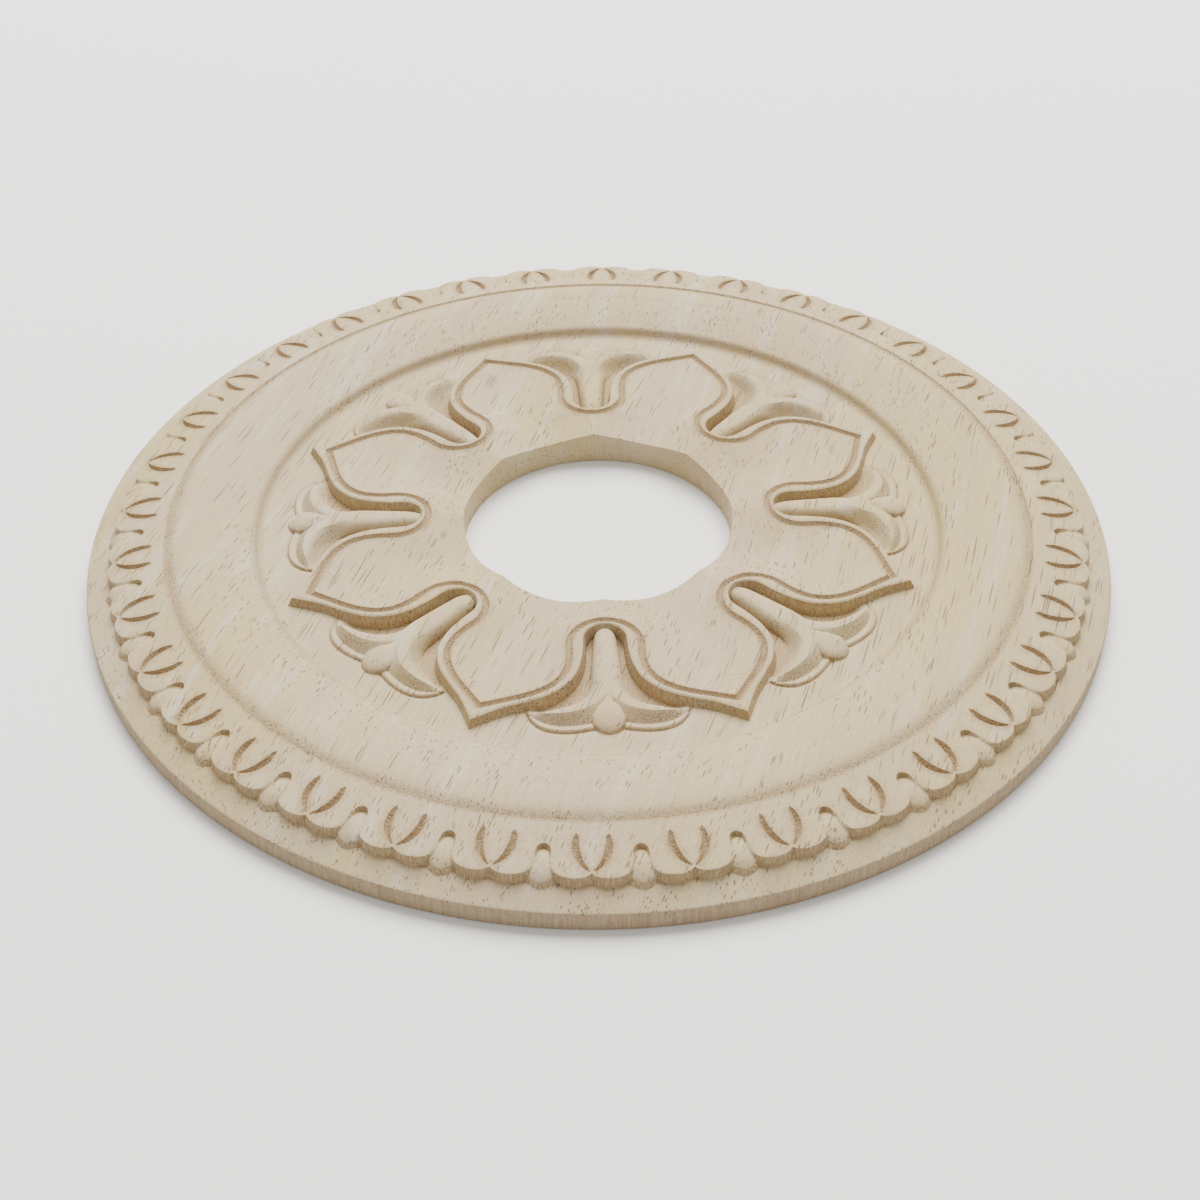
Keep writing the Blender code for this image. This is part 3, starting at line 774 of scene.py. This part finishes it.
bpy.ops.object.mode_set(mode="EDIT")
bpy.ops.mesh.select_all(action="SELECT")
bpy.ops.mesh.remove_doubles(threshold=WELD)
bpy.ops.mesh.select_all(action="DESELECT")
bpy.ops.object.mode_set(mode="OBJECT")
for vertex in piece.data.vertices:
    vertex.select = abs(vertex.co.to_2d().length - HOLE_RADIUS * MM) < WELD and vertex.co.z > MM
bpy.ops.object.mode_set(mode="EDIT")
bpy.ops.mesh.extrude_region_move()
bpy.ops.transform.resize(value=(1, 1, 0), center_override=(0, 0, HOLE_FOOT * MM))
bpy.ops.mesh.select_all(action="SELECT")
bpy.ops.mesh.remove_doubles(threshold=WELD)
bpy.ops.mesh.quads_convert_to_tris()
bpy.ops.mesh.normals_make_consistent(inside=False)
bpy.ops.object.mode_set(mode="OBJECT")
bpy.ops.object.shade_smooth_by_angle(angle=SMOOTH_ANGLE)

# Finish of the wood
# Pale bare wood, sanded and not oiled. Dark pores run as short dashes along the grain, soft patches
# and streaks vary its cream tone, and every carved wall and groove is browner, with fine tool marks;
# that brown is partly painted shade. The crease and the outer side get painted shade.
CREAM = (0.515, 0.417, 0.250, 1.0)
YELLOWED = (0.505, 0.400, 0.195, 1.0)
ROSY = (0.495, 0.370, 0.240, 1.0)
CHALKY = (0.550, 0.475, 0.350, 1.0)
# Browner tone of tool-cut walls and grooves, partly painted shade in the recesses and the crease.
TOOLED_AND_SHADED = (0.345, 0.240, 0.128, 1.0)
# Darker brown of the outer side: painted shade.
SIDE_SHADE = (0.310, 0.235, 0.165, 1.0)
PORE = (0.150, 0.095, 0.055, 1.0)

# A rise is a pair of values: where a tone or mark begins to show, and where it shows in full.
YELLOWED_RISE = (0.42, 0.66)
ROSY_SHARE = 0.8
ROSY_RISE = (0.5, 0.72)
CHALKY_SHARE = 0.8
CHALKY_RISE = (0.48, 0.3)
FIBRE_DARKNESS = 0.12
FIBRE_RISE = (0.45, 0.7)
FUZZ_DARKNESS = 0.18
FUZZ_RISE = (0.52, 0.68)
SIDE_SHADE_SHARE = 0.45

# Scales count waves to the metre: along the grain, across it and in depth.
GRAIN_ANGLE = math.radians(71)
DRIFT_SCALE = (9, 9, 9)
DRIFT = 0.009
PATCH_SCALE = (9, 34, 34)
STREAK_SCALE = (13, 160, 160)
FIBRE_SCALE = (60, 2200, 900)
FUZZ_SCALE = (1500, 1500, 1500)

PORE_SCALE = (42, 1500, 1500)
PORE_RISE = (0.3, 0.18)
PORE_DARKNESS = 0.9
CLUSTER_SCALE = (60, 260, 260)
CLUSTER_RISE = (0.4, 0.6)
LONE_PORES = 0.15

# The joint's place, blur and reach are metres across the grain.
JOINT = -0.0533
JOINT_BLUR = 0.0001
GLUE_REACH = 0.0003
GLUE_DARKNESS = 0.3
RIGHT_STAVE_YELLOW = 0.35
LEFT_STAVE_ROSE = 0.3
LEFT_STAVE_RISE = (0.02, -0.03)

# Tool marks are strokes up and down the walls, which the upward part of the normal finds. The walls'
# browner tint is partly painted shade. The pairs named after places of the medallion are distances
# from its axis.
TOOL_MARK_SCALE = (1900, 1900, 110)
TOOL_MARK_RISE = (0.38, 0.62)
TOOLED_AND_SHADED_SHARE = 0.35
TOOL_MARK_SHARE = 0.75
STEEP_RISE = (0.82, 0.6)
OUTER_SIDE = (0.1495, 0.1499)
HOLE_WALL = (0.0403, 0.0401)
HOLE_CLEANNESS = 0.6
# The step's riser turns browner: partly tool marks, partly painted shade.
STEP_START = (0.0988, 0.0995)
STEP_END = (0.103, 0.102)
STEP_CLEANNESS = 0.55
STEP_MARKS_AND_SHADE = 0.4
ROSETTE_END = (0.1, 0.099)
ROSETTE_CLEANNESS = 0.2
# The crease at the foot of the roll is painted browner, with dark specks: painted shade.
CREASE_START = (0.1225, 0.1262)
CREASE_END = (0.1274, 0.1268)
CREASE_SHADE = 0.8
CREASE_SPECKS = 0.35
CREASE_SPECKS_RISE = (0.5, 0.7)

FIBRE_RELIEF = 0.15
TOOL_RELIEF = 2.5
FUZZ_RELIEF = 0.5
BUMP_STRENGTH = 0.5
BUMP_DEPTH = 0.0002
SANDED_ROUGHNESS = 0.74
TOOLED_ROUGHNESS = 0.14
SPECULAR_LEVEL = 0.3
FACTOR_OUTPUT = 2


class Signal:
    """One output in a node tree. Sums, differences and products of it add Math nodes."""

    def __init__(self, tree, socket=None):
        self.tree = tree
        self.socket = socket

    @staticmethod
    def pick(sockets, key):
        """The socket with this name or place among those that the node uses."""
        used = [socket for socket in sockets if socket.enabled]
        names = [socket.name for socket in used]
        return used[key if isinstance(key, int) else names.index(key)]

    def node(self, kind, settings, sockets, output=0):
        """Adds a node: its settings first, then the values and links of its sockets."""
        node = self.tree.nodes.new(kind)
        for name, setting in settings.items():
            setattr(node, name, setting)
        for key, value in sockets.items():
            socket = self.pick(node.inputs, key)
            if isinstance(value, Signal):
                self.tree.links.new(value.socket, socket)
            else:
                socket.default_value = value
        return Signal(self.tree, self.pick(node.outputs, output))

    def maths(self, operation, one, other):
        return self.node("ShaderNodeMath", {"operation": operation}, {0: one, 1: other})

    def __add__(self, other):
        return self.maths("ADD", self, other)

    def __sub__(self, other):
        return self.maths("SUBTRACT", self, other)

    def __rsub__(self, other):
        return self.maths("SUBTRACT", other, self)

    def __mul__(self, other):
        return self.maths("MULTIPLY", self, other)

    __radd__ = __add__
    __rmul__ = __mul__

    def or_more(self, other):
        """The greater of the two."""
        return self.maths("MAXIMUM", self, other)

    def between(self, start, end):
        """A smooth rise from 0 where the value is start to 1 where it is end."""
        sockets = {"Value": self, "From Min": start, "From Max": end}
        return self.node("ShaderNodeMapRange", {"interpolation_type": "SMOOTHSTEP"}, sockets)

    def scaled(self, factors):
        """A vector with each part multiplied."""
        return self.node("ShaderNodeVectorMath", {"operation": "MULTIPLY"}, {0: self, 1: factors})

    def noise(self, factors, detail=2.0):
        """Noise on this vector, with a scale along each of its axes."""
        sockets = {"Vector": self.scaled(factors), "Scale": 1.0, "Detail": detail}
        return self.node("ShaderNodeTexNoise", {}, sockets)

    def towards(self, colour, share):
        """This colour mixed with another."""
        return self.node("ShaderNodeMix", {"data_type": "RGBA"}, {"Factor": share, "A": self, "B": colour})


wood = bpy.data.materials.new("pale_wood_finish")
wood.use_nodes = True
maker = Signal(wood.node_tree)
place = maker.node("ShaderNodeTexCoord", {}, {}, output="Object")
facing = maker.node("ShaderNodeNewGeometry", {}, {}, output="True Normal")
upward = maker.node("ShaderNodeSeparateXYZ", {}, {"Vector": facing}, output="Z")
# The attribute holds tool marks, and painted shade in the groove and the channel.
tooled_and_shaded = maker.node("ShaderNodeAttribute", {"attribute_name": "tooled_and_shaded"}, {}, output=FACTOR_OUTPUT)
from_axis = maker.node("ShaderNodeVectorMath", {"operation": "LENGTH"}, {0: place.scaled((1, 1, 0))})

drift = place.noise(DRIFT_SCALE, detail=0.0) * DRIFT
drift = maker.node("ShaderNodeCombineXYZ", {}, {"Y": drift})
grain = maker.node("ShaderNodeMapping", {}, {"Vector": place, "Rotation": (0, 0, -GRAIN_ANGLE)})
across = maker.node("ShaderNodeSeparateXYZ", {}, {"Vector": grain}, output="Y")
grain = maker.node("ShaderNodeVectorMath", {"operation": "ADD"}, {0: grain, 1: drift})

vessels = maker.node("ShaderNodeTexVoronoi", {}, {"Vector": grain.scaled(PORE_SCALE), "Scale": 1.0})
clusters = grain.noise(CLUSTER_SCALE, detail=1.0).between(*CLUSTER_RISE)
pores = vessels.between(*PORE_RISE) * (LONE_PORES + (1 - LONE_PORES) * clusters)
patches = grain.noise(PATCH_SCALE, detail=3.0)
streaks = grain.noise(STREAK_SCALE, detail=3.0)
fibres = grain.noise(FIBRE_SCALE)
marks = place.noise(TOOL_MARK_SCALE, detail=1.0)
fuzz = place.noise(FUZZ_SCALE)

right_stave = across.between(JOINT + JOINT_BLUR, JOINT - JOINT_BLUR)
glue_line = across.between(JOINT - GLUE_REACH, JOINT) * across.between(JOINT + GLUE_REACH, JOINT)
left_stave = (1 - right_stave) * across.between(*LEFT_STAVE_RISE)

on_side = from_axis.between(*OUTER_SIDE)
in_hole = from_axis.between(*HOLE_WALL)
crease = from_axis.between(*CREASE_START) * from_axis.between(*CREASE_END)
on_step = from_axis.between(*STEP_START) * from_axis.between(*STEP_END)
in_rosette = from_axis.between(*ROSETTE_END)
uncleaned = 1 - HOLE_CLEANNESS * in_hole - STEP_CLEANNESS * on_step - ROSETTE_CLEANNESS * in_rosette
# Steep walls, tooled places, the crease and the step turn browner: tool-cut colour and painted shade.
cut = upward.between(*STEEP_RISE) * uncleaned + tooled_and_shaded
marked_and_shaded = cut.or_more(CREASE_SHADE * crease).or_more(STEP_MARKS_AND_SHADE * on_step)

colour = maker.node("ShaderNodeRGB", {}, {})
colour.socket.default_value = CREAM
colour = colour.towards(YELLOWED, patches.between(*YELLOWED_RISE))
colour = colour.towards(ROSY, ROSY_SHARE * streaks.between(*ROSY_RISE))
colour = colour.towards(CHALKY, CHALKY_SHARE * streaks.between(*CHALKY_RISE))
colour = colour.towards(YELLOWED, RIGHT_STAVE_YELLOW * right_stave)
colour = colour.towards(ROSY, LEFT_STAVE_ROSE * left_stave)
colour = colour.towards(PORE, GLUE_DARKNESS * glue_line)
soiled = FIBRE_DARKNESS * fibres.between(*FIBRE_RISE) + FUZZ_DARKNESS * fuzz.between(*FUZZ_RISE)
colour = colour.towards(PORE, soiled)
strokes = TOOLED_AND_SHADED_SHARE + TOOL_MARK_SHARE * marks.between(*TOOL_MARK_RISE)
colour = colour.towards(TOOLED_AND_SHADED, marked_and_shaded * strokes)
# Painted shade: the outer side is painted darker brown all round.
colour = colour.towards(SIDE_SHADE, SIDE_SHADE_SHARE * on_side)
specks = CREASE_SPECKS * crease * fuzz.between(*CREASE_SPECKS_RISE)
colour = colour.towards(PORE, PORE_DARKNESS * pores + specks)

relief = fibres * FIBRE_RELIEF - pores + marked_and_shaded * marks * TOOL_RELIEF + fuzz * FUZZ_RELIEF
sockets = {"Height": relief, "Strength": BUMP_STRENGTH, "Distance": BUMP_DEPTH}
bump = maker.node("ShaderNodeBump", {}, sockets)
roughness = SANDED_ROUGHNESS + TOOLED_ROUGHNESS * marked_and_shaded
shader = wood.node_tree.nodes["Principled BSDF"]
shader.inputs["Specular IOR Level"].default_value = SPECULAR_LEVEL
wood.node_tree.links.new(colour.socket, shader.inputs["Base Color"])
wood.node_tree.links.new(roughness.socket, shader.inputs["Roughness"])
wood.node_tree.links.new(bump.socket, shader.inputs["Normal"])
piece.data.materials.clear()
piece.data.materials.append(wood)

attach(piece, "root")
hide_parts("medallion")

# Floor
# A plain pale surface, matt and even in tone. The medallion lies on it with its flat back, so that
# it takes the soft shadow.
FLOOR_SIZE = 6.0
FLOOR_TONE = (0.93, 0.93, 0.92, 1.0)
FLOOR_ROUGHNESS = 0.9

bpy.ops.object.select_all(action="DESELECT")
bpy.ops.mesh.primitive_plane_add(size=FLOOR_SIZE, location=(0, 0, 0))
floor = bpy.context.object
floor.name = "floor"
surface = bpy.data.materials.new("pale_floor")
surface.use_nodes = True
shader = surface.node_tree.nodes["Principled BSDF"]
shader.inputs["Base Color"].default_value = FLOOR_TONE
shader.inputs["Roughness"].default_value = FLOOR_ROUGHNESS
floor.data.materials.append(surface)

# Light
# A broad soft lamp stands above and behind the medallion, so the walls towards the camera are in
# soft shade. Even light of the same warm white comes from all round.
ROOM_LIGHT = 0.69
LAMP_PLACE = Vector((0.2, 1.75, 2.3))
LAMP_SIZE = 2.3
LAMP_POWER = 245.0
WARM_WHITE = (1.0, 0.98, 0.95)

world = bpy.data.worlds.new("world")
bpy.context.scene.world = world
world.use_nodes = True
background = world.node_tree.nodes["Background"]
background.inputs["Color"].default_value = (*WARM_WHITE, 1.0)
background.inputs["Strength"].default_value = ROOM_LIGHT

bpy.ops.object.light_add(type="AREA", location=LAMP_PLACE)
lamp = bpy.context.object
lamp.data.energy = LAMP_POWER
lamp.data.size = LAMP_SIZE
lamp.data.color = WARM_WHITE
lamp.rotation_euler = (-LAMP_PLACE).to_track_quat("-Z", "Y").to_euler()
